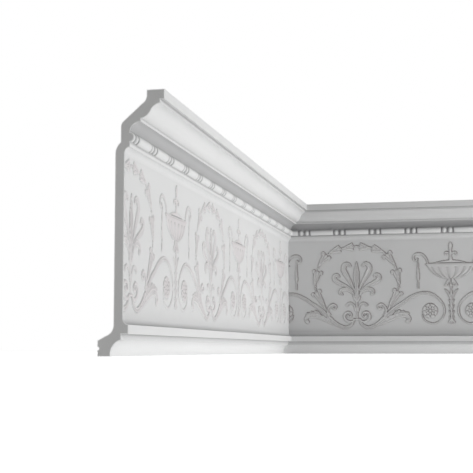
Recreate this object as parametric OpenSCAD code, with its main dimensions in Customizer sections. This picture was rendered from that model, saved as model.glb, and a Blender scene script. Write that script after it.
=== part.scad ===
// Inside corner of a frieze cornice: two mitred lengths of thin-walled moulding
// that stand in the corner of a room, under its ceiling.
// Each is drawn in the corner's own frame: the left wall is the plane X = 0, the
// back wall is the plane Y = 0, the foot is at Z = 0, and the room lies at +X and
// -Y. The part's origin is under the middle of the box that holds both lengths.

/* [Lengths] */
// Length of the left run, from the wall corner to its square cut
left_l = 1036; // [500:1:1500]
// Length of the back run, from the wall corner to its square cut
back_l = 540; // [300:1:1500]
// Joint left between the two lengths at the mitre
mitre_gap = 0.2; // [0.1:0.05:0.5]

/* [Section] */
// Height from the foot to the ceiling
high = 285; // [230:1:360]
// Projection of the crown from the wall
proj = 72; // [60:1:90]
// Thickness of the moulded wall behind the frieze
skin = 10.4; // [8:0.1:13]
// Distance from the wall to the face of the frieze
frieze_x = 28; // [23:0.1:36]

/* [Crown] */
// Height of the crown fascia
crown_h = 10.8; // [8:0.1:14]
// Step from the crown fascia back to its fillet
crown_step = 4.7; // [3:0.1:7]
// Height of the fillet under the crown fascia
crown_fillet_h = 4.1; // [3:0.1:6]
// Depth of the flat top, which bears on the ceiling
top_land = 19.8; // [14:0.1:24]
// Height of the cyma
cyma_h = 16.1; // [13:0.1:20]
// Height of the fillet under the cyma
corona_h = 3.4; // [2:0.1:6]

/* [Cove and beads] */
// Height of the cove over the beads
cove_h = 10.1; // [8:0.1:13]
// Reach of the cove over the beads
cove_run = 12; // [9:0.1:15]
// Height of the flat band that carries the beads
band_h = 16.7; // [14:0.1:22]
// Height of the cavetto between the band and the frieze
cavetto_h = 8; // [6:0.1:10]
// Reach of the cavetto between the band and the frieze
cavetto_run = 5.9; // [4:0.1:8]
// Diameter of the beads
bead_d = 11.7; // [9:0.1:13]
// Distance between the middles of two bead pairs
bead_pitch = 68.5; // [50:0.1:90]
// Spacing of the two round beads in a pair
bead_gap = 11.4; // [9.2:0.1:13]
// Depth of the grooves between beads
bead_groove = 1.8; // [1:0.1:2.5]

/* [Foot] */
// Height of the flare under the frieze
flare_h = 8; // [6:0.1:10]
// Reach of the flare under the frieze
flare_run = 6; // [4:0.1:8]
// Height of the fillet under the flare
base_fillet_h = 9.8; // [7:0.1:13]
// Step from that fillet back to the foot
drip_step = 7.9; // [6:0.1:10]
// Height of the flat over the foot cove
drip_h = 6.3; // [4:0.1:8]
// Height of the foot cove
foot_h = 17.4; // [14:0.1:21]
// Width of the underside
foot_w = 14.5; // [12:0.1:18]
// Height of the glue land on the back of the foot
land_h = 16.9; // [13:0.1:20]
// Radius of the glue groove along that land
groove_r = 1.8; // [1:0.1:2.5]

/* [Frieze ornament] */
// Length of one repeat, from palmette to palmette
repeat_l = 357; // [320:1:400]
// Height of the ornament over the face of the frieze
relief_h = 1.2; // [1:0.1:3]
// From the wall corner to the first palmette of the left run
left_first = 298; // [100:1:450]
// From the wall corner to the first palmette of the back run
back_first = 161; // [100:1:300]
// From the wall corner to the first bead pair of the left run
left_bead = 68.5; // [60:0.1:120]
// From the wall corner to the first bead pair of the back run
back_bead = 60.5; // [60:0.1:120]

/* [Hidden] */
$fn = 48;
white = [0.93, 0.93, 0.92];
pale = [0.86, 0.86, 0.85];
over = 1; // how far cutting shapes run past what they cut
quirk = 0.3; // flat left at each end of a curved member

// Heights of the members, from the top down
crown_z = high - crown_h;
cyma_top_z = crown_z - crown_fillet_h;
cyma_z = cyma_top_z - cyma_h;
corona_z = cyma_z - corona_h;
band_top_z = corona_z - cove_h;
band_z = band_top_z - band_h;
frieze_top_z = band_z - cavetto_h;
bead_z = band_top_z - bead_d / 2 - 0.2;

// Heights of the members, from the foot up
drip_z = foot_h + drip_h;
flare_z = drip_z + base_fillet_h;
frieze_z = flare_z + flare_h;

// Distances from the wall
band_x = frieze_x + cavetto_run;
corona_x = band_x + cove_run;
fillet_x = proj - crown_step;
flare_x = frieze_x + flare_run;
drip_x = flare_x - drip_step;
back_x = frieze_x - skin;
shoulder_x = band_x - skin;
top_x = proj - top_land;
bead_x = band_x - 0.9; // the beads' axis lies just inside the band

// Back of the moulding: it rises from the glue land, runs up behind the frieze,
// steps out behind the beads and slants up to the crown
toe = [back_x * 0.52, land_h + back_x * 0.28];
heel = [back_x, flare_z];
shoulder_foot = [back_x, frieze_top_z];
shoulder = [shoulder_x, band_z + 5.3];
slant_foot = [shoulder_x, band_top_z + 4.9];
slant_low = slant_foot + [3.5, 7.1];
slant_high = [top_x - 5.6, cyma_top_z - 0.3];
crown_back = [top_x, crown_z + 3.8];
cyma_mid = [(fillet_x + corona_x) / 2, (cyma_top_z + cyma_z) / 2];

// Rise of an arc as a share of its chord: 0.207 is a quarter circle
cove_bow = 0.2;
cyma_bow = 0.125;
back_bow = 0.12;
heel_bow = 0.168;

// Widths of the ornament's parts
stem_w = 5;
petal_w = 8.5;
curl_w = 4.2;

// Crossing points of the ornament: distance from the palmette's axis, height
// over the underside. They stand in the middle of the frieze.
lift = (frieze_z + frieze_top_z) / 2 - 128.6;
scroll = [
    [4, 64], [10, 56], [21, 51], [35, 56], [54, 71], [74, 89], [98, 107],
    [114, 114], [128, 116], [141, 113], [153, 104], [161, 91], [162, 78],
    [158, 67], [149, 60], [138, 57.5], [128, 62], [122, 71]
];
inner_curl = [[36, 58], [50, 70], [55, 82], [52, 92], [45, 94], [42, 89]];
rosette_at = [136, 81];
petals = [
    [[5, 124], [15, 142], [24, 158], [22, 169], [13, 171]],
    [[8, 122], [24, 133], [38, 139], [42, 147], [36, 150]],
    [[4, 112], [14, 121], [26, 124], [31, 118], [27, 114]]
];
small_curls = [
    [[3, 86], [6, 95], [13, 97.5], [18, 94]],
    [[5, 64], [13, 63], [21, 68], [21, 77], [13, 78], [11, 73]]
];
handle = [[43, 172], [47, 181], [55, 189], [64, 190], [69, 183], [66, 176]];
// Bell-shaped husks of the wreath: foot, mouth
husks = [
    [[60, 87], [76, 119]], [[79, 134], [74, 160]], [[70, 171], [57, 191]],
    [[48, 197], [32, 202]], [[23, 204], [7, 206]]
];

// Radius of the arc that rises by `rise` over a chord
function arc_radius(chord, rise) = (chord * chord / 4 + rise * rise) / (2 * rise);

// What lies between the line from a to b and the arc that bows out to its left.
// The arc leaves a small quirk at each end, and the shape reaches past the line.
module segment(a, b, bow) {
    chord = norm(b - a) - 2 * quirk;
    rise = bow * chord;
    radius = arc_radius(chord, rise);
    translate(a)
        rotate(atan2(b.y - a.y, b.x - a.x))
            intersection() {
                translate([quirk + chord / 2, rise - radius])
                    circle(r = radius);
                translate([-3 * over, -over])
                    square([chord + 6 * over, rise + 2 * over]);
            }
}

// The section's corners, before its curves are added and cut
module section_lines() {
    polygon([
        [0, 0], [foot_w, 0], [drip_x, foot_h], [drip_x, drip_z],
        [flare_x, drip_z], [flare_x, flare_z], [frieze_x, frieze_z],
        [frieze_x, frieze_top_z], [band_x, band_z], [band_x, band_top_z],
        [corona_x, corona_z], [corona_x, cyma_z], cyma_mid,
        [fillet_x, cyma_top_z], [fillet_x, crown_z], [proj, crown_z],
        [proj, high], [top_x, high], crown_back, slant_high, slant_low,
        slant_foot, shoulder, shoulder_foot, heel, toe, [0, land_h]
    ]);
}

// The moulding's section: X is the distance from the wall, Y the height
module section() {
    difference() {
        union() {
            section_lines();
            segment(cyma_mid, [corona_x, cyma_z], cyma_bow);
            segment(slant_foot, slant_low, back_bow);
            segment(shoulder_foot, shoulder, back_bow);
        }
        segment([foot_w, 0], [drip_x, foot_h], cove_bow);
        segment([flare_x, flare_z], [frieze_x, frieze_z], cove_bow);
        segment([frieze_x, frieze_top_z], [band_x, band_z], cove_bow);
        segment([band_x, band_top_z], [corona_x, corona_z], cove_bow);
        segment(cyma_mid, [fillet_x, cyma_top_z], cyma_bow);
        segment(crown_back, slant_high, back_bow);
        segment(heel, toe, heel_bow);
        translate([0, land_h / 2])
            circle(r = groove_r);
    }
}

// Outline of a row of bead pairs and barrels, from its axis outward
module bead_outline(first, length) {
    core = bead_d / 2 - bead_groove;
    gap = 0.4;
    slope = bead_groove + over;
    barrel = bead_pitch - 2 * bead_gap - gap;
    translate([0, -over])
        square([core, length + 2 * over]);
    for (at = [first - bead_pitch : bead_pitch : length + bead_pitch]) {
        for (side = [-0.5, 0.5])
            intersection() {
                translate([0, at + side * bead_gap])
                    circle(d = bead_d);
                translate([0, at - bead_pitch / 2])
                    square([bead_d, bead_pitch]);
            }
        translate([0, at + bead_gap])
            polygon([
                [0, gap], [core - over, gap], [bead_d / 2, gap + slope],
                [bead_d / 2, barrel - slope], [core - over, barrel], [0, barrel]
            ]);
    }
}

// The row of beads, turned about its axis, which lies just inside the band
module bead_row(first, length) {
    translate([0, -bead_x, bead_z])
        rotate([0, 90, 0])
            rotate_extrude()
                bead_outline(first, length);
}

// A smooth line of points through the given ones
function smooth(p, steps) = [
    for (i = [0 : len(p) - 2])
        let (a = p[max(i - 1, 0)], b = p[i], c = p[i + 1], d = p[min(i + 2, len(p) - 1)])
            for (s = [0 : steps - 1])
                let (t = s / steps)
                    0.5 * (2 * b + (c - a) * t + (2 * a - 5 * b + 4 * c - d) * t * t
                        + (3 * b - a - 3 * c + d) * t * t * t),
    p[len(p) - 1]
];

// The side direction of a line of points at its point i
function side_of(p, i) =
    let (along = p[min(i + 1, len(p) - 1)] - p[max(i - 1, 0)])
        [-along.y, along.x] / norm(along);

// A band of even width along a smooth line
module ribbon(points, width, steps = 2) {
    line = smooth(points, steps);
    last = len(line) - 1;
    polygon(concat(
        [for (i = [0 : last]) line[i] + side_of(line, i) * width / 2],
        [for (i = [last : -1 : 0]) line[i] - side_of(line, i) * width / 2]
    ));
}

// A band that ends in a round knob
module curl(points, width) {
    ribbon(points, width);
    translate(points[len(points) - 1])
        circle(d = width * 1.15);
}

// What stands on both sides of an axis
module both_sides() {
    children();
    mirror([1, 0])
        children();
}

// A pointed leaf between two points
module leaf(a, b, width) {
    chord = norm(b - a);
    reach = arc_radius(chord, width / 2) - width / 2;
    translate(a)
        rotate(atan2(b.y - a.y, b.x - a.x))
            intersection() {
                translate([chord / 2, -reach])
                    circle(r = reach + width / 2);
                translate([chord / 2, reach])
                    circle(r = reach + width / 2);
            }
}

// A bell-shaped husk with two curled tips at its mouth
module husk(foot, mouth) {
    along = (mouth - foot) / norm(mouth - foot);
    side = [-along.y, along.x];
    polygon([
        foot - side * 2, foot + side * 2, mouth + side * 6,
        mouth + side * 1.5 - along * 2, mouth - side * 1.5 - along * 2, mouth - side * 6
    ]);
    for (way = [-1, 1])
        translate(mouth + side * way * 6)
            circle(d = 4.4);
}

// The palmette on its stem, over the volutes
module palmette() {
    leaf([0, 122], [0, 177], 10);
    translate([-2.5, 64])
        square([5, 62]);
    translate([-6.5, 64])
        square([13, 3.5]);
    both_sides() {
        for (petal = petals)
            curl(petal, petal_w);
        for (small = small_curls)
            curl(small, curl_w);
    }
}

// The scrolls, their rosettes and leaves, and the wreath of husks
module scrolls() {
    both_sides() {
        ribbon(scroll, stem_w);
        curl(inner_curl, curl_w);
        translate(rosette_at)
            circle(r = 14);
        leaf([36, 54], [95, 73], 12);
        translate([95, 66])
            circle(r = 6);
        for (bell = husks)
            husk(bell[0], bell[1]);
    }
}

// The covered bowl on its stand, with its handles and their drops
module urn() {
    translate([-45, 168])
        square([90, 4]);
    segment([45, 169], [-45, 169], 0.3);
    leaf([-27, 173], [27, 173], 9);
    translate([-2, 174])
        square([4, 30]);
    translate([0, 207])
        circle(r = 3.6);
    polygon([
        [-4, 60], [4, 60], [3, 112], [3, 131], [11, 129],
        [7, 143], [-7, 143], [-11, 129], [-3, 131], [-3, 112]
    ]);
    both_sides() {
        curl(handle, curl_w);
        leaf([61, 180], [61, 124], 6);
        leaf([1, 106], [12, 122], 5);
        leaf([1, 189], [11, 189], 5);
    }
}

// The frieze's ornament along one length, drawn flat
module ornament(first, length) {
    for (at = [first - repeat_l : repeat_l : length + repeat_l]) {
        translate([at, lift]) {
            palmette();
            scrolls();
        }
        translate([at + repeat_l / 2, lift])
            urn();
    }
}

// Plan of one length: square at its far end, mitred at the corner
module plan(length) {
    set_back = mitre_gap / sqrt(2);
    front = proj + over;
    polygon([
        [set_back - over, over], [length, over],
        [length, -front], [set_back + front, -front]
    ]);
}

// One length, run along +X with its back to the wall Y = 0
module moulding(length, first, first_bead) {
    intersection() {
        union() {
            mirror([0, 1, 0])
                rotate([90, 0, 90])
                    linear_extrude(length + over)
                        section();
            bead_row(first_bead, length);
            translate([0, over - frieze_x, 0])
                rotate([90, 0, 0])
                    linear_extrude(relief_h + over)
                        ornament(first, length);
        }
        translate([0, 0, -over])
            linear_extrude(high + 2 * over)
                plan(length);
    }
}

// From the wall corner's frame to the part's
module placed() {
    translate([-back_l / 2, left_l / 2, 0])
        children();
}

module left_length() {
    color(white)
        placed()
            mirror([1, 1, 0])
                moulding(left_l, left_first, left_bead);
}

module back_length() {
    color(pale)
        placed()
            moulding(back_l, back_first, back_bead);
}

left_length();
back_length();
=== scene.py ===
"""Looks of the inside corner of a frieze cornice: two mitred lengths in white primer.

Each length is built in its own run frame and then turned into place. In the run
frame, s is the distance along the wall from the wall corner, p the projection from
the wall, and z the height. The ornament is a height field over the frieze.

Every face corner holds three tones of painted shade, which darken the primer as they
go from 0 to 1: "relief" on the ornament, along with its warm tone, "outline" on its
edges and in its flutes, and "shade" in recesses, on some members and towards the
inside corner. The mix holds a tone over 1 at 1.
"""
import math
import bmesh
import bpy
import numpy as np
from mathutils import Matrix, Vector


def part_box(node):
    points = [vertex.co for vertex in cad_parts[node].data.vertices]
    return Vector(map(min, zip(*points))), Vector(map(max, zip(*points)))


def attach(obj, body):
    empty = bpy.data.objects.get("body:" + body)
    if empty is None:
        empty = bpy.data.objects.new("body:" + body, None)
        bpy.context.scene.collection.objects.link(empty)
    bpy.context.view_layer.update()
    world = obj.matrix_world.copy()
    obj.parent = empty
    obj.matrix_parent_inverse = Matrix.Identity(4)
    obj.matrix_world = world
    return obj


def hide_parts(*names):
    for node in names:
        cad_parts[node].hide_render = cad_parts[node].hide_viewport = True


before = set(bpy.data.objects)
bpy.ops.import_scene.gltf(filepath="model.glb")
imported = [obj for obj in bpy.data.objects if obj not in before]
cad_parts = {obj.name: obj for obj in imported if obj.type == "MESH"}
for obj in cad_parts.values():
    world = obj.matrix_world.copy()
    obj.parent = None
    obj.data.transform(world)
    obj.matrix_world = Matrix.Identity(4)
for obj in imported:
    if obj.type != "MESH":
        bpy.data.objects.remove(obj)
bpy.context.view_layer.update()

MM = 0.001

# ---------------------------------------------------------------- sizes, in mm
left_low, left_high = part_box("left_length")
back_low, back_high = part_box("back_length")
CORNER = Vector((left_low.x, back_high.y, 0.0))  # where the two walls meet
LEFT_LENGTH = (back_high.y - left_low.y) / MM
BACK_LENGTH = (back_high.x - left_low.x) / MM
HIGH = left_high.z / MM
PROJ = (left_high.x - left_low.x) / MM
SKIN = 10.4  # thickness of the wall behind the frieze
PRIMER_COAT = 0.8  # width of the white rim round a sawn end
JOINT = 0.1  # each length stops this short of the mitre plane
MITRE = JOINT * math.sqrt(2)  # the same, measured along the run

# Projections of the section's arrises from the wall
FRIEZE_P = 28.0
BAND_P = FRIEZE_P + 5.9
CORONA_P = BAND_P + 12.0
FILLET_P = PROJ - 4.7
FLARE_P = FRIEZE_P + 6.0
DRIP_P = FLARE_P - 7.9
FOOT_P = 14.5
BACK_P = FRIEZE_P - SKIN
SHOULDER_P = BAND_P - SKIN
TOP_P = PROJ - 19.8

# Their heights above the foot
CROWN_Z = HIGH - 10.8
CYMA_TOP_Z = CROWN_Z - 4.1
CYMA_Z = CYMA_TOP_Z - 16.1
CORONA_Z = CYMA_Z - 3.4
BAND_TOP_Z = CORONA_Z - 10.1
BAND_Z = BAND_TOP_Z - 16.7
FRIEZE_TOP_Z = BAND_Z - 8.0
FOOT_Z = 17.4
DRIP_Z = FOOT_Z + 6.3
FLARE_Z = DRIP_Z + 9.8
FRIEZE_Z = FLARE_Z + 8.0
LAND_Z = 16.9

BEAD_R = 5.85
BEAD_P = BAND_P - 0.9
BEAD_Z = BAND_TOP_Z - BEAD_R - 0.2
BEAD_PITCH = 68.5  # from one pair of beads to the next
BEAD_GAP = 11.4  # between the two centres of a pair
BEAD_CUT = 26  # degrees from the row's axis at which a bead's round side ends
BEAD_SIDES = 18  # facets round the front of the row
BEAD_TURN = 100  # degrees that the row turns up and down from its front
GROOVE_R = BEAD_R - 2.4  # radius of the groove at a barrel's end
GROOVE_REACH = 0.2  # from a barrel's end to the groove's bottom
BARREL_GAP = 0.35  # between a barrel's end and the next bead's share of the row
BARREL_END, BARREL_DROP = 1.9, 2.2  # its rounded end, along the row and in depth
ROW_START = BEAD_P - 12.0  # along the run, where the row is still hidden in the corner

REPEAT = 357.0  # of the ornament, from one palmette to the next
HALF = REPEAT / 2
STRETCH = HALF / 175.0  # the paths below are drawn for a half repeat of 175
LEFT_FIRST, BACK_FIRST = 298.0, 161.0  # the first palmette's axis on each run
LEFT_BEAD, BACK_BEAD = 68.5, 60.5  # the first pair of beads on each run

STEP = 0.75  # spacing of the height field's points
RELIEF = 1.2  # height of the boldest ornament
RAISED = 0.25  # points higher than this are in an ornament
SUNK = 0.4  # depth of the faint groove round each ornament
STATIONS = (0, 0.03, 0.07, 0.12, 0.2, 0.35, 0.6, 1)  # shares of a run, close near the corner
LEFT_TRIANGLES, BACK_TRIANGLES = 165000, 180000  # of each frieze's sheet, once it is thinned

# ------------------------------------------------------------------------- painted shade tones
COVE_SHADES = (1.0, 0.9, 0.7, 0.5, 0.35)  # from the beads up
FLARE_SHADES = (0.75, 0.6, 0.45, 0.35, 0.3)  # from the fillet up
BAND_SHADES = (0, 0, 0.7, 1.0, 1.0, 1.0, 1.0, 1.0)  # painted shade behind the beads
FOOT_SHADE, FOOT_REACH = 0.22, 9.0  # extra at the foot of the frieze, and how high it fades
CORNER_SHADE, CORNER_REACH = 0.3, 130.0  # extra at the inside corner, and how far it fades
GROOVE_SHADE = 2.4  # of a groove in the bead row, times its depth as a share of BEAD_R

# How much painted shade each length takes: the side its edges are dark on and how much,
# the shade in the ornament's flutes and channels, the ornament's warm tone and its shade,
# the shade on the frieze's flat face, the share of the recess shades, the shade on the
# members under the crown, and on the beads' upper half
LOOKS = {
    "left_length": {"edges": (-1, 0.04), "crease_shade": 0.5, "ornament_tint_and_shade": 1.0, "ground": 0.08,
                    "recess": 0.8, "upper": 0.0, "bead_top_shade": 0.35},
    "back_length": {"edges": (1, 1.0), "crease_shade": 0.6, "ornament_tint_and_shade": 0.18, "ground": 0.2,
                    "recess": 1.15, "upper": 0.2, "bead_top_shade": 1.0},
}


# ------------------------------------------------------------- the height field
def smooth_path(points, steps=10):
    """Points along a smooth curve through the given ones (Catmull-Rom)."""
    p = np.array(points, float)
    ends = np.vstack([p[0], p, p[-1]])
    t = np.linspace(0, 1, steps, endpoint=False)[:, None]
    out = []
    for i in range(len(p) - 1):
        a, b, c, d = ends[i:i + 4]
        out.append(0.5 * (2 * b + (c - a) * t + (2 * a - 5 * b + 4 * c - d) * t ** 2
                          + (3 * b - a - 3 * c + d) * t ** 3))
    return np.vstack(out + [p[-1:]])


class Relief:
    """Heights over half a repeat: u from the palmette's axis to the urn's axis."""

    def __init__(self):
        self.u = np.arange(0, HALF + STEP / 2, STEP)
        rows = int(round((FRIEZE_TOP_Z - FRIEZE_Z) / STEP))
        self.z = np.linspace(FRIEZE_Z, FRIEZE_TOP_Z, rows + 1)
        self.h = np.zeros((len(self.u), len(self.z)))

    def window(self, low, high):
        """The part of the field inside a box, as slices and coordinate grids."""
        i0, i1 = np.searchsorted(self.u, [low[0], high[0]])
        j0, j1 = np.searchsorted(self.z, [low[1], high[1]])
        part = (slice(i0, i1), slice(j0, j1))
        return part, *np.meshgrid(self.u[i0:i1], self.z[j0:j1], indexing="ij")

    def raise_to(self, part, height):
        """Lifts the field to the given heights where it is lower."""
        self.h[part] = np.maximum(self.h[part], height)

    def stroke(self, points, widths, height, form):
        """A band along a smooth path. widths holds the half-width at each point.

        form gets the distance from the path as a share of the half-width, and the
        side of the path (1 is left of its direction).
        """
        path = smooth_path(points)
        half = smooth_path(list(enumerate(widths)))[:, 1]
        reach = max(widths) + 1
        part, u, z = self.window(path.min(0) - reach, path.max(0) + reach)
        if not u.size:
            return
        width = np.full(u.shape, 1e9)
        q = np.full(u.shape, 9.0)
        side = np.zeros(u.shape)
        for i in range(len(path) - 1):
            ax, az = path[i]
            dx, dz = path[i + 1] - path[i]
            length2 = dx * dx + dz * dz
            if length2 < 1e-12:
                continue
            t = np.clip(((u - ax) * dx + (z - az) * dz) / length2, 0, 1)
            d = np.hypot(u - ax - t * dx, z - az - t * dz)
            w = half[i] + (half[i + 1] - half[i]) * t
            near = d / w < q
            q = np.where(near, d / w, q)
            width = np.where(near, w, width)
            side = np.where(near, np.sign(dx * (z - az) - dz * (u - ax)), side)
        self.raise_to(part, height * form(q, side) * edge(q, width))

    def blob(self, centre, radii, height, form):
        """A round or oval boss. form gets the share of the radius and the angle."""
        reach = max(radii) + 1
        c = np.array(centre, float)
        part, u, z = self.window(c - reach, c + reach)
        if not u.size:
            return
        x = (u - c[0]) / radii[0]
        y = (z - c[1]) / radii[1]
        q = np.hypot(x, y)
        self.raise_to(part, height * form(q, np.arctan2(y, x)) * edge(q, min(radii)))


def edge(q, half_width, wall=0.9):
    """Falls from 1 to 0 over the width of a steep side wall, just before q = 1."""
    t = np.clip((1 - q) * half_width / wall, 0, 1)
    return t * t * (3 - 2 * t)


def domed(q, *_):
    """Round across, and a third high at its edge."""
    return 0.35 + 0.65 * np.sqrt(np.clip(1 - q * q, 0, 1))


def hollow(q, *_):
    """High rims with a dished middle."""
    return 0.5 + 0.5 * np.clip(q / 0.68, 0, 1) ** 2


def rimmed(q, side):
    """A lobe with a rib along its outer side and a deep channel inside."""
    across = q * side
    rib = np.exp(-((across - 0.62) / 0.28) ** 2)
    inner = np.exp(-((across + 0.68) / 0.22) ** 2)
    return 0.42 + 0.58 * np.maximum(rib, 0.75 * inner)


def ribbed(q, *_):
    """Two side rims and a middle rib."""
    return 0.55 + 0.45 * np.cos(math.pi * 2 * np.clip(q, 0, 1) / 0.9) ** 2


def petals(count, rings):
    """A rosette's rings of petals round a small boss."""
    def form(q, angle):
        height = np.sqrt(np.clip(1 - (q / 0.22) ** 2, 0, 1))
        for k, (low, high) in enumerate(rings):
            t = np.clip((q - low) / (high - low), 0, 1)
            lobe = np.clip(2.6 * np.abs(np.cos(count / 2 * angle + k * math.pi / 2)) - 0.25, 0, 1)
            ring = np.clip(3.2 * np.sin(math.pi * t), 0, 1)
            height = np.maximum(height, lobe * ring * (1 - 0.25 * t))
        return 0.2 + 0.8 * height
    return form


# A path's points are (distance from the palmette's axis, height above the foot)
def place(points):
    """Stretches points along the run to the half repeat."""
    return [(u * STRETCH, z) for u, z in points]


def draw_palmette(r):
    """The leaves, the stem and the pair of curls under it."""
    leaf = [(0, 121), (0, 130), (0, 145), (0, 160), (0, 177)]
    r.stroke(leaf, [1.5, 4.0, 5.4, 4.6, 0.6], RELIEF, ribbed)
    r.stroke(place([(5, 123), (11, 136), (19, 150), (24.5, 162), (22, 171), (15.5, 172.5), (11.5, 169)]),
             [1.6, 3.2, 4.8, 5.2, 4.6, 3.4, 2.2], RELIEF, rimmed)
    r.stroke(place([(7, 121), (20, 130), (33, 136.5), (41, 142), (42, 149), (36.5, 151.5), (33, 148)]),
             [1.4, 2.8, 4.0, 4.6, 4.2, 3.2, 2.0], RELIEF, rimmed)
    r.stroke(place([(4, 110), (10, 118.5), (19, 124), (28, 122.5), (31, 117), (27.5, 114)]),
             [1.6, 2.8, 3.6, 3.8, 3.2, 2.2], RELIEF, rimmed)
    r.stroke([(0, 67), (0, 85), (0, 100), (0, 112), (0, 124)],
             [2.6, 2.4, 2.2, 4.0, 5.0], RELIEF * 0.75, ribbed)
    r.stroke(place([(1, 101), (4.5, 106), (6, 112)]), [2.2, 2.4, 0.8], RELIEF * 0.9, domed)
    r.stroke(place([(2.5, 82), (4.5, 91), (9.5, 96.5), (15, 96.5), (18.5, 93)]),
             [1.6, 1.9, 2.0, 2.2, 2.6], RELIEF * 0.9, hollow)
    r.stroke(place([(5, 65), (12, 61.5), (20, 64), (24, 71), (21, 78.5), (14, 79.5), (10.5, 74.5),
                    (13.5, 70.5), (17, 73)]),
             [1.6, 2.4, 2.7, 2.6, 2.3, 2.0, 1.8, 1.8, 2.4], RELIEF, domed)
    r.stroke([(-8, 65.7), (0, 65.7), (6.5, 65.7)], [1.9, 1.9, 1.9], RELIEF * 1.1, domed)


SCROLL = [(5, 65), (10, 56), (21, 50.5), (34, 54.5), (47, 64), (62, 79), (74, 89.5), (87, 98), (99, 106.5),
          (114, 113.5), (128.5, 115.5), (141, 112.5), (152.5, 103.5), (160, 93), (162.3, 81), (159.5, 70),
          (152, 61.5), (142.5, 57.5), (132.5, 59.5), (124.7, 65.5), (121.5, 74)]
SCROLL_W = [1.8, 2.6, 3.2, 3.4, 3.6, 3.6, 3.4, 3.2, 3.0, 2.8, 2.6, 2.3, 2.0, 1.7, 1.6, 1.5,
            1.4, 1.4, 1.4, 1.3, 1.0]
ROSETTE = (136.0, 81.5)


def draw_scroll(r):
    """The long stem that curls round the rosette, and its side shoot."""
    r.stroke(place(SCROLL), SCROLL_W, RELIEF, hollow)
    r.blob(place([ROSETTE])[0], (14.2, 14.0), RELIEF * 1.1, petals(8, [(0.26, 0.62), (0.6, 1.02)]))
    r.stroke(place([(36, 57), (50, 68), (55.5, 80), (52.5, 90), (45.5, 95), (39.5, 91.5), (41, 86),
                    (45, 87)]),
             [1.6, 2.0, 2.2, 2.2, 2.1, 1.9, 1.8, 2.4], RELIEF, domed)
    draw_acanthus(r)


LOBES = [((52, 62), (59, 76)), ((60, 67), (69, 82)), ((70, 71), (79, 82)), ((79, 73), (87, 80)),
         ((86, 73), (95, 77)), ((46, 60), (52, 70))]


def draw_acanthus(r):
    """A leaf along the scroll's foot with lobes on its upper side and a curled tip."""
    r.stroke(place([(27, 51), (43, 57), (58, 65), (72, 71.5), (84, 74), (93, 72), (97, 66), (93.5, 61.5)]),
             [1.2, 3.0, 4.4, 5.0, 4.6, 4.2, 4.0, 3.4], RELIEF * 0.9, rimmed)
    for root, tip in LOBES:
        middle = ((root[0] + tip[0]) / 2 - 1.5, (root[1] + tip[1]) / 2 + 1.0)
        r.stroke(place([root, middle, tip]), [1.6, 3.2, 2.6], RELIEF, ribbed)
    r.blob(place([(95, 62)])[0], (4.2, 4.0), RELIEF * 1.1, domed)


def draw_husk(r, foot, mouth, curled):
    """A bell of three petals that opens towards its mouth."""
    foot, mouth = (np.array(q) for q in place([foot, mouth]))
    way = (mouth - foot) / np.hypot(*(mouth - foot))
    across = np.array([-way[1], way[0]])
    length = np.hypot(*(mouth - foot))
    lip = 4.8
    body = [1.6, 3.4, 4.6] if curled else [2.2, 4.4, 5.8]
    r.stroke([foot, foot + way * length * 0.5, mouth - way * 1.5], body, RELIEF * 0.75, ribbed)
    for side in (-1, 1):
        flank = [foot + across * side * 1.2, foot + way * length * 0.5 + across * side * 3.4,
                 mouth - way * 2 + across * side * lip]
        widths = [1.1, 1.7, 2.0]
        if curled:
            flank += [mouth + way * 2.6 + across * side * (lip + 1.6),
                      mouth + way * 1.8 + across * side * (lip + 4.0),
                      mouth - way * 1.6 + across * side * (lip + 3.4)]
            widths += [2.0, 1.9, 2.3]
        else:
            flank += [mouth + way * 0.8 + across * side * (lip + 1.0)]
            widths += [1.9]
        r.stroke(flank, widths, RELIEF * 0.95, domed)
    r.stroke([mouth - way * length * 0.35, mouth - way * 2, mouth + way * 1.2],
             [1.0, 2.3, 1.2], RELIEF * 0.95, domed)
    r.stroke([foot - way * 1.5, foot, foot + way * 2.5], [2.0, 2.3, 1.8], RELIEF, domed)


HUSKS = [((60.5, 88), (76.5, 117), True), ((79.5, 135), (74.5, 157), True), ((70.5, 172), (58, 189), True),
         ((48, 196.5), (33, 202), False), ((22.5, 204), (8.5, 206), False)]
LINKS = [(78.6, 130.5), (78.9, 126.5), (73.2, 165.5), (72.0, 168.8), (53.5, 192.8), (50.8, 194.6),
         (29.0, 202.4), (26.0, 203.6), (4.5, 206.2), (1.2, 206.8)]


def draw_wreath(r):
    """A thin vine with husks along it and small beads between them."""
    vine = [(51, 75), (60, 88), (70, 104), (77.5, 122), (79.5, 140), (76, 160), (68, 177), (56, 191),
            (40, 200), (20, 205), (0, 206.5)]
    r.stroke(place(vine), [2.4, 1.6] + [1.1] * (len(vine) - 2), RELIEF * 0.5, domed)
    for foot, mouth, curled in HUSKS:
        draw_husk(r, foot, mouth, curled)
    for link in place(LINKS):
        r.blob(link, (1.9, 1.9), RELIEF, domed)


def from_urn(points):
    """Turns distances from the urn's axis, which is at HALF, into places in the field."""
    return [(HALF - w, z) for w, z in points]


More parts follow.
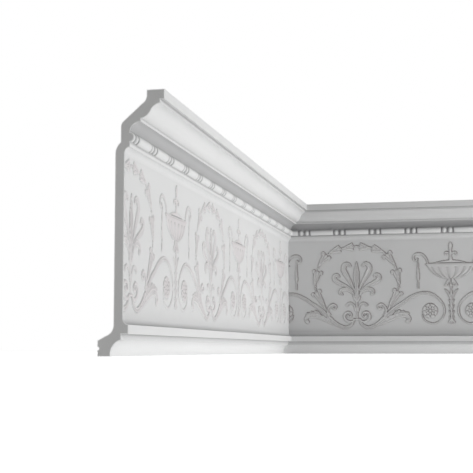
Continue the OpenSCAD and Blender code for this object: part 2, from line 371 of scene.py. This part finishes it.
def draw_urn(r):
    """The bowl, its lid and handle, the drop from the handle, and the stand."""
    draw_bowl(r)
    r.stroke(from_urn([(46.5, 170), (0, 170), (-8, 170)]), [1.6, 2.2, 2.2], RELIEF * 1.1, domed)
    r.stroke(from_urn([(27, 172.5), (14, 174.2), (0, 175), (-8, 175)]),
             [0.8, 2.2, 3.0, 3.0], RELIEF * 0.9, domed)
    r.stroke(from_urn([(0, 176), (0, 184), (0, 190), (0, 196)]), [4.0, 2.4, 3.2, 2.2], RELIEF, domed)
    r.stroke(from_urn([(0, 196), (0, 202), (0, 206), (0, 211)]), [2.0, 3.4, 3.6, 1.0], RELIEF * 1.2, domed)
    r.stroke(from_urn([(1, 189), (6, 192), (10, 191.5), (10, 188)]), [1.4, 1.7, 1.7, 1.9], RELIEF, domed)
    r.stroke(from_urn([(42.5, 171), (45.5, 180), (52, 188), (60, 190.5), (67.5, 188), (70, 181),
                       (66, 176.5), (62.5, 180)]),
             [1.4, 1.9, 2.1, 2.1, 2.0, 1.9, 1.8, 2.2], RELIEF, hollow)
    r.stroke(from_urn([(61.5, 179), (61.5, 168), (61.3, 154), (61.5, 143), (61.5, 138)]),
             [0.9, 1.3, 2.4, 2.8, 0.8], RELIEF * 0.9, domed)
    r.stroke(from_urn([(61.5, 138), (61.5, 131), (61.5, 124)]), [0.8, 1.6, 1.4], RELIEF * 0.9, domed)
    draw_stand(r)


BOWL_FOOT, BOWL_TOP, FLUTE_TOP = 141.5, 169.0, 165.5
BOWL_Z = [BOWL_FOOT, 143, 145, 148, 152, 158, 166, BOWL_TOP]
BOWL_W = [1, 12, 20, 26.5, 33.5, 39.5, 44, 45.5]  # half-widths at those heights


def draw_bowl(r):
    """The urn's bowl, round across, with flutes that stop under its rim."""
    part, u, z = r.window((HALF - BOWL_W[-1] - 1.5, BOWL_FOOT - 1.5), (HALF + STEP, BOWL_TOP))
    half = np.interp(z, BOWL_Z, BOWL_W)
    share = np.clip((HALF - u) / half, -1, 1)
    round_off = np.sqrt(np.clip(1 - 0.75 * share ** 2, 0, 1))
    tongue = np.abs(np.cos(8 * np.arcsin(share)))
    fluted = np.clip((FLUTE_TOP - z) / 2.0, 0, 1)
    inside = np.clip((half - (HALF - u)) / 0.9, 0, 1) * np.clip((z - BOWL_FOOT) / 0.9, 0, 1)
    height = RELIEF * (0.75 + 0.5 * round_off) * (1 - 0.7 * fluted * (1 - tongue))
    r.raise_to(part, height * inside)


def draw_stand(r):
    """The foot's leaves and the stem of bells under it."""
    for k in range(4):
        foot, tip = 2.0 + 1.1 * k, 1.4 + 3.2 * k
        r.stroke(from_urn([(foot * 0.7, 141.5), ((foot + tip) / 2, 135), (tip, 129.5)]),
                 [1.2, 1.5, 1.7], RELIEF * (1.1 - 0.1 * k), domed)
    r.stroke(from_urn([(0, 130), (0, 121), (0, 112)]), [2.2, 1.8, 2.6], RELIEF * 0.9, domed)
    r.stroke(from_urn([(1.5, 106), (4.5, 112), (8, 118), (12.5, 122)]), [1.8, 2.4, 2.2, 0.9], RELIEF, ribbed)
    for k in range(5):
        top = 112 - 10.5 * k
        wide = 4.6 - 0.35 * k
        r.stroke(from_urn([(0, top - 13), (0, top - 6), (0, top)]), [wide * 0.5, wide * 0.6, wide * 0.7],
                 RELIEF * (0.7 + 0.1 * (k % 2)), ribbed)
        r.stroke(from_urn([(0.8, top - 9), (2.6, top - 3), (wide + 0.9, top + 0.8)]),
                 [1.0, 1.5, 1.0], RELIEF, ribbed)
    r.stroke(from_urn([(0, 66), (2.5, 63), (5.5, 59.5)]), [1.8, 2.0, 1.6], RELIEF * 0.9, domed)
    r.stroke(from_urn([(0, 72), (0, 64), (0, 59)]), [2.4, 1.8, 2.2], RELIEF, ribbed)


def blurred(field, radius):
    """A running mean over both directions, mirrored at the borders."""
    for axis in (0, 1):
        padding = [(0, 0), (0, 0)]
        padding[axis] = (radius + 1, radius)
        total = np.cumsum(np.pad(field, padding, mode="reflect"), axis=axis)
        ahead = np.take(total, range(2 * radius + 1, total.shape[axis]), axis=axis)
        behind = np.take(total, range(0, total.shape[axis] - 2 * radius - 1), axis=axis)
        field = (ahead - behind) / (2 * radius + 1)
    return field


def half_repeat():
    """Heights of half a repeat, with a faint groove round each ornament."""
    r = Relief()
    draw_wreath(r)
    draw_scroll(r)
    draw_palmette(r)
    draw_urn(r)
    inside = (r.h > RAISED).astype(float)
    near = blurred(blurred(inside, 1), 1)
    rim = np.clip(4 * near * (1 - near), 0, 1) * (1 - inside)
    return r, r.h - SUNK * rim


# ------------------------------------------------------------------- the section
def arc(a, b, bow, count=8):
    """Points from a to b along the arc that bows out to the left of that line."""
    a, b = np.array(a, float), np.array(b, float)
    chord = np.hypot(*(b - a))
    rise = abs(bow) * chord
    radius = (chord * chord / 4 + rise * rise) / (2 * rise)
    along = (b - a) / chord
    left = np.array([-along[1], along[0]]) * math.copysign(1, bow)
    half = math.asin(min(1, chord / 2 / radius))
    centre = (a + b) / 2 - left * (radius - rise)
    angles = np.linspace(-half, half, count + 1)
    return [tuple(centre + radius * (math.sin(t) * along + math.cos(t) * left)) for t in angles]


COVE, CYMA, BACK, HEEL, HALF_ROUND = 0.2, 0.125, 0.12, 0.168, 0.5  # an arc's rise over its chord
GLUE_HALF = 1.8  # half the width of the groove in the land
BAND, BEAD_COVE = 1, 2  # places of two stretches in the list of upper ones
UNDER_CROWN = 6  # how many of the upper ones lie under the crown


def member_lines():
    """The section as smooth stretches, counter-clockwise from the toe of the foot.

    A stretch ends where the section has an arris. The frieze's face is left out.
    """
    mid = ((FILLET_P + CORONA_P) / 2, (CYMA_TOP_Z + CYMA_Z) / 2)
    heel, toe = (BACK_P, FLARE_Z), (BACK_P * 0.52, LAND_Z + BACK_P * 0.28)
    shoulder_foot, shoulder = (BACK_P, FRIEZE_TOP_Z), (SHOULDER_P, BAND_Z + 5.3)
    slant_foot = (SHOULDER_P, BAND_TOP_Z + 4.9)
    slant_low = (slant_foot[0] + 3.5, slant_foot[1] + 7.1)
    slant_high, crown_back = (TOP_P - 5.6, CYMA_TOP_Z - 0.3), (TOP_P, CROWN_Z + 3.8)
    groove_top, groove_foot = (0, LAND_Z / 2 + GLUE_HALF), (0, LAND_Z / 2 - GLUE_HALF)
    lower = [
        [(0, 0), (FOOT_P, 0)],
        arc((FOOT_P, 0), (DRIP_P, FOOT_Z), COVE),
        [(DRIP_P, FOOT_Z), (DRIP_P, DRIP_Z)],
        [(DRIP_P, DRIP_Z), (FLARE_P, DRIP_Z)],
        [(FLARE_P, DRIP_Z), (FLARE_P, FLARE_Z)],
        arc((FLARE_P, FLARE_Z), (FRIEZE_P, FRIEZE_Z), COVE),
    ]
    upper = [
        arc((FRIEZE_P, FRIEZE_TOP_Z), (BAND_P, BAND_Z), COVE),
        [(BAND_P, z) for z in np.linspace(BAND_Z, BAND_TOP_Z, len(BAND_SHADES))],
        arc((BAND_P, BAND_TOP_Z), (CORONA_P, CORONA_Z), COVE),
        [(CORONA_P, CORONA_Z), (CORONA_P, CYMA_Z)],
        arc((CORONA_P, CYMA_Z), mid, -CYMA) + arc(mid, (FILLET_P, CYMA_TOP_Z), CYMA)[1:],
        [(FILLET_P, CYMA_TOP_Z), (FILLET_P, CROWN_Z)],
        [(FILLET_P, CROWN_Z), (PROJ, CROWN_Z)],
        [(PROJ, CROWN_Z), (PROJ, HIGH)],
        [(PROJ, HIGH), (TOP_P, HIGH)],
        [(TOP_P, HIGH)] + arc(crown_back, slant_high, BACK) + arc(slant_low, slant_foot, -BACK),
        [slant_foot, shoulder],
        arc(shoulder, shoulder_foot, -BACK) + arc(heel, toe, HEEL) + [(0, LAND_Z)],
        [(0, LAND_Z), groove_top],
        arc(groove_top, groove_foot, HALF_ROUND, 10),
        [groove_foot, (0, 0)],
    ]
    return lower, upper


PRIMED, SAWN = 0, 1  # material slots


class Soup:
    """Points with tones, and faces with material slots, that add up to one mesh."""

    def __init__(self):
        self.points, self.faces, self.materials, self.tones = [], [], [], []
        self.count = 0

    def add(self, points, faces, tones=None, material=PRIMED):
        points = np.asarray(points, float)
        self.points.append(points)
        self.tones.append(np.zeros((len(points), 3)) if tones is None else tones)
        self.faces.extend([tuple(i + self.count for i in f) for f in faces])
        self.materials.extend([material] * len(faces))
        self.count += len(points)


def grid_faces(rows, columns):
    """Quads of a grid whose point (i, j) is number i * columns + j."""
    i, j = np.meshgrid(np.arange(rows - 1), np.arange(columns - 1), indexing="ij")
    a = (i * columns + j).ravel()
    return np.stack([a, a + columns, a + columns + 1, a + 1], axis=1)


def sweep(soup, line, length, shades):
    """Runs one stretch of the section from the mitre to the square cut."""
    line = np.array(line)
    tones = np.zeros((len(line), 3))
    tones[:, 2] = np.interp(np.linspace(0, 1, len(line)), np.linspace(0, 1, len(shades)), shades)
    start = line[:, 0] + MITRE
    rows = [np.column_stack([start + (length - start) * t, line]) for t in STATIONS]
    faces = grid_faces(len(rows), len(line)).tolist()
    soup.add(np.vstack(rows), faces, np.tile(tones, (len(rows), 1)))


def bead_outline(length, first):
    """Distance along the run and radius, for the row of bead pairs and barrels."""
    quarter = np.radians((0, 25, 50, 75, 90))
    shoulder = [(BARREL_END * (1 - math.cos(t)), BEAD_R - BARREL_DROP + BARREL_DROP * math.sin(t))
                for t in quarter]
    outline = []
    at = first - BEAD_PITCH
    while at < length + BEAD_PITCH:
        for centre in (at - BEAD_GAP / 2, at + BEAD_GAP / 2):
            for t in np.radians(np.linspace(180 - BEAD_CUT, BEAD_CUT, 11)):
                outline.append((centre + BEAD_R * math.cos(t), BEAD_R * math.sin(t)))
        begin = at + BEAD_GAP + BARREL_GAP
        finish = at + BEAD_PITCH - BEAD_GAP - BARREL_GAP
        outline.append((begin - GROOVE_REACH, GROOVE_R))
        outline += [(begin + inset, radius) for inset, radius in shoulder]
        outline += [(finish - inset, radius) for inset, radius in reversed(shoulder)]
        outline.append((finish + GROOVE_REACH, GROOVE_R))
        at += BEAD_PITCH
    return outline


def add_beads(soup, length, first, top_shade):
    """Turns the bead row's outline round its axis, and gives its line in the square cut."""
    outline = [q for q in bead_outline(length, first) if q[0] < length]
    outline.append((length, outline[-1][1]))
    hidden = sum(s <= ROW_START for s, _ in outline)
    outline = outline[max(hidden - 1, 0):]
    angles = np.radians(np.linspace(-BEAD_TURN, BEAD_TURN, BEAD_SIDES + 1))
    upper = np.clip((angles - 0.15) / 0.9, 0, 1)  # painted shade on the upper half, 1 from about 60 degrees up
    rows = []
    tones = np.zeros((len(outline), len(angles), 3))
    for k, (s, radius) in enumerate(outline):
        p = BEAD_P + radius * np.cos(angles)
        z = BEAD_Z + radius * np.sin(angles)
        rows.append(np.column_stack([np.maximum(s, p + MITRE), p, z]))
        # painted shade on the beads' upper half and in the grooves between them
        tones[k, :, 2] = np.clip(top_shade * upper + GROOVE_SHADE * (1 - radius / BEAD_R), 0, 1)
    soup.add(np.vstack(rows), grid_faces(len(rows), len(angles)).tolist(), tones.reshape(-1, 3))
    radius = outline[-1][1]
    reach = math.acos((BAND_P - BEAD_P) / radius)
    return [(BEAD_P + radius * math.cos(t), BEAD_Z + radius * math.sin(t))
            for t in np.linspace(-reach, reach, 15)]


def edge_tone(h, side, up):
    """How much each point lies on an edge that faces one side (1 or -1) and up (1) or down (-1), for painted
    shade or painted highlight.
    """
    tone = 0
    low_walls = (np.clip(h / (0.4 * RELIEF), 0, 1), 0.8)
    whole_height = (h / RELIEF, 0.5)
    for field, gain in (low_walls, whole_height):
        ds, dz = np.gradient(field, STEP)
        facing = np.maximum(-side * ds - 0.75 * up * dz, 0)
        tone = tone + gain * (facing + 0.06 * np.hypot(ds, dz))
    tone = np.clip(1.5 * tone, 0, 1)
    return np.clip(0.95 * tone + 0.45 * blurred(tone, 1), 0, 1)


def crease_shade_mask(h):
    """How much each point lies in a flute or channel of the ornament, for painted shade."""
    around = blurred(h, 2)
    depth = np.clip((around - h) / (0.15 * RELIEF), 0, 1)
    return depth * np.clip(around / (0.5 * RELIEF) - 0.6, 0, 1)


def frieze_sheet(length, first, look):
    """The frieze's face as grid points, faces and tones, and its line in the square cut."""
    stations = np.arange(math.ceil((FRIEZE_P - first) / STEP), math.floor((length - first) / STEP) + 1)
    phase = np.mod(stations, int(round(REPEAT / STEP)))
    half = int(round(HALF / STEP))
    h = HEIGHTS[np.where(phase > half, 2 * half - phase, phase)]
    s = first + stations * STEP
    h = h * np.clip((length - 0.5 - s[:, None]) / 1.5, 0, 1)  # fades out at the square cut
    side, strength = look["edges"]
    # painted shade on the edges that face one side and up, and in flutes and channels
    edges = np.maximum(strength * edge_tone(h, side, 1), look["crease_shade"] * crease_shade_mask(h))
    # painted shade on the frieze's flat face, deeper at its foot
    shade = look["ground"] + look["recess"] * FOOT_SHADE * np.exp((FRIEZE_Z - FIELD.z) / FOOT_REACH)
    shade = shade * (1 - edge_tone(h, -side, -1))  # painted highlight: no painted shade on the edges that face the light
    # the ornament's warm tone, darkened by painted shade, strongest on the left length
    tones = np.stack([look["ornament_tint_and_shade"] * np.clip(h / RELIEF, 0, 1), edges, shade], axis=-1)
    s = np.append(s, length)
    h = np.vstack([h, h[-1:]])
    tones = np.concatenate([tones, tones[-1:]])
    p = FRIEZE_P + h
    along = np.maximum(s[:, None], p + MITRE)
    z = np.broadcast_to(FIELD.z, p.shape)
    points = np.stack([along, p, z], axis=-1).reshape(-1, 3)
    cut_line = list(zip(p[-1], FIELD.z))
    return points, grid_faces(*p.shape), tones.reshape(-1, 3), cut_line


def thinned(points, faces, tones, target):
    """The same sheet with fewer triangles where it is flat."""
    mesh = bpy.data.meshes.new("sheet")
    mesh.from_pydata(points.tolist(), [], faces.tolist())
    layer = mesh.attributes.new("tone", "FLOAT_VECTOR", "POINT")
    layer.data.foreach_set("vector", tones.astype(np.float32).ravel())
    sheet = bpy.data.objects.new("sheet", mesh)
    bpy.context.scene.collection.objects.link(sheet)
    cut = sheet.modifiers.new("thin", "DECIMATE")
    cut.ratio = min(1.0, target / (2 * len(faces)))
    bpy.context.view_layer.update()
    thin = sheet.evaluated_get(bpy.context.evaluated_depsgraph_get()).to_mesh()
    out = np.zeros(len(thin.vertices) * 3, np.float32)
    thin.vertices.foreach_get("co", out)
    tone = np.zeros(len(thin.vertices) * 3, np.float32)
    thin.attributes["tone"].data.foreach_get("vector", tone)
    polygons = [tuple(q.vertices) for q in thin.polygons]
    bpy.data.objects.remove(sheet)
    bpy.data.meshes.remove(mesh)
    return out.reshape(-1, 3), polygons, tone.reshape(-1, 3)


def add_cap(soup, outline, s):
    """Closes one end with a flat face of the whole section."""
    outline = np.array(outline)
    along = np.broadcast_to(s, len(outline))
    soup.add(np.column_stack([along, outline]), [tuple(range(len(outline)))], material=SAWN)


def stretch_shades(lower, upper, look):
    """The painted shade along each stretch, from its first point to its last."""
    shades = [(0, 0)] * len(lower + upper)
    shades[len(lower) - 1] = FLARE_SHADES
    shades[len(lower) + BAND] = BAND_SHADES
    shades[len(lower) + BEAD_COVE] = COVE_SHADES
    under_crown = range(len(lower), len(lower) + UNDER_CROWN)
    # the members under the crown take extra painted shade
    return [np.clip(np.multiply(tones, look["recess"]) + look["upper"] * (k in under_crown), 0, 1)
            for k, tones in enumerate(shades)]


def joined(lines):
    """The points of all the lines in one list."""
    return [q for line in lines for q in line]


def build_length(name, length, first, first_bead, mirrored, triangles, look):
    """One length of moulding as a single mesh that replaces its CAD node."""
    soup = Soup()
    lower, upper = member_lines()
    for line, shades in zip(lower + upper, stretch_shades(lower, upper, look)):
        sweep(soup, line, length, shades)
    points, faces, tones, cut_face = frieze_sheet(length, first, look)
    soup.add(*thinned(points, faces, tones, triangles))
    cut_beads = add_beads(soup, length, first_bead, look["bead_top_shade"])
    band = [upper[BAND][0]] + cut_beads + [upper[BAND][-1]]
    section = joined(lower) + cut_face + joined(upper[:BAND] + [band] + upper[BAND + 1:])
    add_cap(soup, section, length)
    plain = joined(lower + upper)
    add_cap(soup, plain, np.array(plain)[:, 0] + MITRE)
    return finish_mesh(name, soup, mirrored)


def finish_mesh(name, soup, mirrored):
    """Turns the run frame into the part's frame and makes the object."""
    q = np.vstack(soup.points)
    s, p, z = q[:, 0] * MM, q[:, 1] * MM, q[:, 2] * MM
    if mirrored:
        places = np.column_stack([CORNER.x + p, CORNER.y - s, z])
    else:
        places = np.column_stack([CORNER.x + s, CORNER.y - p, z])
    mesh = bpy.data.meshes.new(name)
    mesh.from_pydata(places.tolist(), [], soup.faces)
    mesh.polygons.foreach_set("material_index", soup.materials)
    mesh.polygons.foreach_set("use_smooth", [m == PRIMED for m in soup.materials])
    corners = np.zeros(len(mesh.loops), np.int32)
    mesh.loops.foreach_get("vertex_index", corners)
    tones = np.vstack(soup.tones)
    # painted shade towards the inside corner
    tones[:, 2] += CORNER_SHADE * np.exp((q[:, 1] - q[:, 0]) / CORNER_REACH)
    tones = tones[corners]  # on corners, so that each arris keeps both sides' tones
    for k, label in enumerate(("relief", "outline", "shade")):
        layer = mesh.attributes.new(label, "FLOAT", "CORNER")
        layer.data.foreach_set("value", tones[:, k].astype(np.float32))
    mesh.update()
    piece = bpy.data.objects.new(name, mesh)
    bpy.context.scene.collection.objects.link(piece)
    orient(piece)
    return piece


WELD = 2e-6  # metres between points that become one
SHARP_ANGLE = math.radians(32)


def orient(piece):
    """Joins the stretches, faces everything outward and rims the sawn end with primer."""
    work = bmesh.new()
    work.from_mesh(piece.data)
    bmesh.ops.remove_doubles(work, verts=work.verts, dist=WELD)
    bmesh.ops.recalc_face_normals(work, faces=work.faces)
    # The mitre's face is sawn too, but it lies askew and stays bare
    square = [f for f in work.faces if f.material_index == SAWN and abs(f.normal.x * f.normal.y) < 0.1]
    rim = bmesh.ops.inset_individual(work, faces=square, thickness=PRIMER_COAT * MM, use_even_offset=True)
    for face in rim["faces"]:
        face.material_index = PRIMED
    work.to_mesh(piece.data)
    work.free()
    piece.data.set_sharp_from_angle(angle=SHARP_ANGLE)


# --------------------------------------------------------------------- materials
def new_material(name):
    material = bpy.data.materials.new(name)
    material.use_nodes = True
    return material, material.node_tree.nodes, material.node_tree.links


def noise(nodes, links, scale, detail, coords):
    """Noise that stays with the piece. scale counts features per metre."""
    node = nodes.new("ShaderNodeTexNoise")
    node.inputs["Scale"].default_value = scale
    node.inputs["Detail"].default_value = detail
    links.new(coords.outputs["Object"], node.inputs["Vector"])
    return node


def mix_colour(nodes, links, factor, a, b):
    """Colour a where the factor is 0 and b where it is 1. Each is a colour or a socket."""
    node = nodes.new("ShaderNodeMix")
    node.data_type = "RGBA"
    links.new(factor, node.inputs["Factor"])
    for socket, value in (("A", a), ("B", b)):
        target = [i for i in node.inputs if i.name == socket and i.type == "RGBA"][0]
        if isinstance(value, tuple):
            target.default_value = value
        else:
            links.new(value, target)
    return [o for o in node.outputs if o.type == "RGBA"][0]


def mapped(nodes, links, value, low, high, to_low, to_high):
    """The value's range from low to high turned into another, and held there."""
    node = nodes.new("ShaderNodeMapRange")
    links.new(value, node.inputs["Value"])
    for label, number in (("From Min", low), ("From Max", high), ("To Min", to_low), ("To Max", to_high)):
        node.inputs[label].default_value = number
    return node.outputs["Result"]


def recess(nodes, links, reach, full, clear, most):
    """How much a point sits in a recess that is reach wide, from most down to 0, as a share of painted shade.
    """
    node = nodes.new("ShaderNodeAmbientOcclusion")
    node.samples = 8
    node.only_local = True
    node.inputs["Distance"].default_value = reach
    return mapped(nodes, links, node.outputs["AO"], full, clear, most, 0.0)


def add_bump(nodes, links, shader, height, strength):
    """A fine grain in the surface."""
    node = nodes.new("ShaderNodeBump")
    node.inputs["Strength"].default_value = strength
    node.inputs["Distance"].default_value = 0.0002
    links.new(height, node.inputs["Height"])
    links.new(node.outputs["Normal"], shader.inputs["Normal"])


PRIMER_WHITE, CLOUD_WHITE = (0.835, 0.838, 0.836, 1), (0.79, 0.795, 0.80, 1)
# warm tone of the ornament, darker as painted shade
ORNAMENT_WARM_SHADED_WHITE = (0.785, 0.752, 0.758, 1)
# greys of painted shade
SHADE_GREY, EDGE_SHADE_GREY = (0.36, 0.362, 0.365, 1), (0.24, 0.215, 0.21, 1)
RECESS_SHADE_GREY, CREVICE_SHADE_GREY = (0.36, 0.36, 0.365, 1), (0.33, 0.32, 0.32, 1)
FOAM_GREY, CELL_GREY, FOAM_CLOUD = (0.50, 0.50, 0.497, 1), (0.58, 0.58, 0.576, 1), (0.54, 0.537, 0.53, 1)


def primer():
    """Matte white factory primer, a touch warmer on the ornament, with painted shade laid over it."""
    material, nodes, links = new_material("white_primer")
    shader = nodes["Principled BSDF"]
    coords = nodes.new("ShaderNodeTexCoord")
    tones = {}
    for label in ("relief", "outline", "shade"):
        node = nodes.new("ShaderNodeAttribute")
        node.attribute_name = label
        tones[label] = node.outputs["Fac"]
    cloud = noise(nodes, links, 9.0, 4.0, coords).outputs["Fac"]
    colour = mix_colour(nodes, links, tones["relief"], PRIMER_WHITE, ORNAMENT_WARM_SHADED_WHITE)
    for share, over in (
        (mapped(nodes, links, cloud, 0.3, 0.7, 0.0, 0.10), CLOUD_WHITE),
        # painted shade from the shade tone
        (tones["shade"], SHADE_GREY),
        # painted shade on the ornament's edges and in its flutes
        (tones["outline"], EDGE_SHADE_GREY),
        # painted shade in recesses and crevices, from how enclosed each point is
        (recess(nodes, links, 0.022, 0.35, 0.95, 0.75), RECESS_SHADE_GREY),
        (recess(nodes, links, 0.003, 0.3, 0.9, 0.4), CREVICE_SHADE_GREY),
    ):
        colour = mix_colour(nodes, links, share, colour, over)
    links.new(colour, shader.inputs["Base Color"])
    grain = noise(nodes, links, 900.0, 3.0, coords).outputs["Fac"]
    links.new(mapped(nodes, links, grain, 0.3, 0.7, 0.55, 0.7), shader.inputs["Roughness"])
    shader.inputs["Specular IOR Level"].default_value = 0.3
    add_bump(nodes, links, shader, grain, 0.12)
    return material


def sawn_foam():
    """Bare dense foam where a length is sawn: mid grey with fine cells."""
    material, nodes, links = new_material("sawn_foam")
    shader = nodes["Principled BSDF"]
    coords = nodes.new("ShaderNodeTexCoord")
    cells = noise(nodes, links, 1500.0, 2.0, coords).outputs["Fac"]
    cloud = noise(nodes, links, 25.0, 3.0, coords).outputs["Fac"]
    colour = mix_colour(nodes, links, mapped(nodes, links, cells, 0.35, 0.65, 0.0, 1.0), FOAM_GREY, CELL_GREY)
    colour = mix_colour(nodes, links, mapped(nodes, links, cloud, 0.3, 0.7, 0.0, 0.25), colour, FOAM_CLOUD)
    links.new(colour, shader.inputs["Base Color"])
    shader.inputs["Roughness"].default_value = 0.85
    add_bump(nodes, links, shader, cells, 0.2)
    return material


# ------------------------------------------------------------- camera and light
LENS, SENSOR = 83.82, 36.0
EYE = (0.4017, -2.1466, 0.0066)  # from the corner, in metres
PITCH, YAW = 95.90, 12.72  # degrees from straight down, and to the left


def add_camera():
    """Low at the corner's open side, level with the foot and looking up a little."""
    camera = bpy.data.cameras.new("camera")
    camera.lens = LENS
    camera.sensor_width = SENSOR
    camera.clip_start = 0.002
    camera.clip_end = 50.0
    eye = bpy.data.objects.new("camera", camera)
    eye.location = CORNER + Vector(EYE)
    eye.rotation_euler = (math.radians(PITCH), 0, math.radians(YAW))
    bpy.context.scene.collection.objects.link(eye)
    bpy.context.scene.camera = eye


LAMPS = (  # name, place and target from the corner in metres, size, watts
    ("uplight", (2.1, -0.5, -1.3), (0.1, -0.3, 0.1), (1.0, 1.0), 20.5),
    ("front", (1.7, -1.5, -0.6), (0.1, -0.3, 0.1), (1.0, 1.0), 6),
    ("key", (2.4, -0.85, 0.45), (0.05, -0.5, 0.1), (1.2, 0.8), 20),
    ("behind_left", (-1.7, 0.7, 1.3), (0.0, -0.5, 0.15), (1.0, 1.0), 18),
    ("behind_back", (-0.7, 1.7, 1.3), (0.2, 0.0, 0.15), (1.0, 1.0), 15),
    ("fill", (-0.25, -1.9, 0.12), (0.0, -1.0, 0.12), (0.4, 0.3), 2.6),
)
WORLD_STRENGTH = 0.15
FLOOR_SIZE, FLOOR_Z = 24, -0.0002
FLOOR_GLOW = 0.84  # only for rays from the camera, a mirror or glass


def add_lamp(name, at, target, size, power):
    """A soft box that the camera doesn't see, turned to its target."""
    lamp = bpy.data.lights.new(name, "AREA")
    lamp.shape = "RECTANGLE"
    lamp.size, lamp.size_y = size
    lamp.energy = power
    body = bpy.data.objects.new(name, lamp)
    body.location = CORNER + Vector(at)
    body.visible_camera = False
    way = CORNER + Vector(target) - body.location
    body.rotation_euler = way.to_track_quat("-Z", "Y").to_euler()
    bpy.context.scene.collection.objects.link(body)


def camera_sees(nodes, links):
    """1 for what the camera sees directly or in a mirror or glass."""
    path = nodes.new("ShaderNodeLightPath")
    total = path.outputs["Is Camera Ray"]
    for label in ("Is Glossy Ray", "Is Transmission Ray"):
        node = nodes.new("ShaderNodeMath")
        node.operation = "MAXIMUM"
        links.new(total, node.inputs[0])
        links.new(path.outputs[label], node.inputs[1])
        total = node.outputs[0]
    return total


def set_world():
    """Dim white light all round, and plain white where the camera looks."""
    world = bpy.data.worlds.new("room")
    world.use_nodes = True
    nodes, links = world.node_tree.nodes, world.node_tree.links
    background = nodes["Background"]
    background.inputs["Color"].default_value = (1, 1, 1, 1)
    seen = camera_sees(nodes, links)
    links.new(mapped(nodes, links, seen, 0, 1, WORLD_STRENGTH, 1.0), background.inputs["Strength"])
    bpy.context.scene.world = world


def add_floor():
    """A pale floor that takes the object's shadow."""
    bpy.ops.mesh.primitive_plane_add(size=FLOOR_SIZE, location=(CORNER.x, CORNER.y, FLOOR_Z))
    floor = bpy.context.object
    floor.name = "floor"
    material, nodes, links = new_material("floor")
    shader = nodes["Principled BSDF"]
    shader.inputs["Base Color"].default_value = (0.86, 0.86, 0.86, 1)
    shader.inputs["Roughness"].default_value = 0.9
    shader.inputs["Specular IOR Level"].default_value = 0.0
    shader.inputs["Emission Color"].default_value = (1, 1, 1, 1)
    seen = camera_sees(nodes, links)
    links.new(mapped(nodes, links, seen, 0, 1, 0.0, FLOOR_GLOW), shader.inputs["Emission Strength"])
    floor.data.materials.append(material)
    floor.visible_shadow = False  # the uplight shines through it


FIELD, HEIGHTS = half_repeat()
SLOTS = (primer(), sawn_foam())  # in the order of PRIMED and SAWN

for name, length, first, first_bead, mirrored, triangles in (
    ("left_length", LEFT_LENGTH, LEFT_FIRST, LEFT_BEAD, True, LEFT_TRIANGLES),
    ("back_length", BACK_LENGTH, BACK_FIRST, BACK_BEAD, False, BACK_TRIANGLES),
):
    piece = build_length(name + "_moulding", length, first, first_bead, mirrored, triangles, LOOKS[name])
    for material in SLOTS:
        piece.data.materials.append(material)
    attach(piece, "root")
    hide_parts(name)

add_camera()
add_floor()
set_world()
for lamp in LAMPS:
    add_lamp(*lamp)

bpy.context.scene.view_settings.view_transform = "Standard"
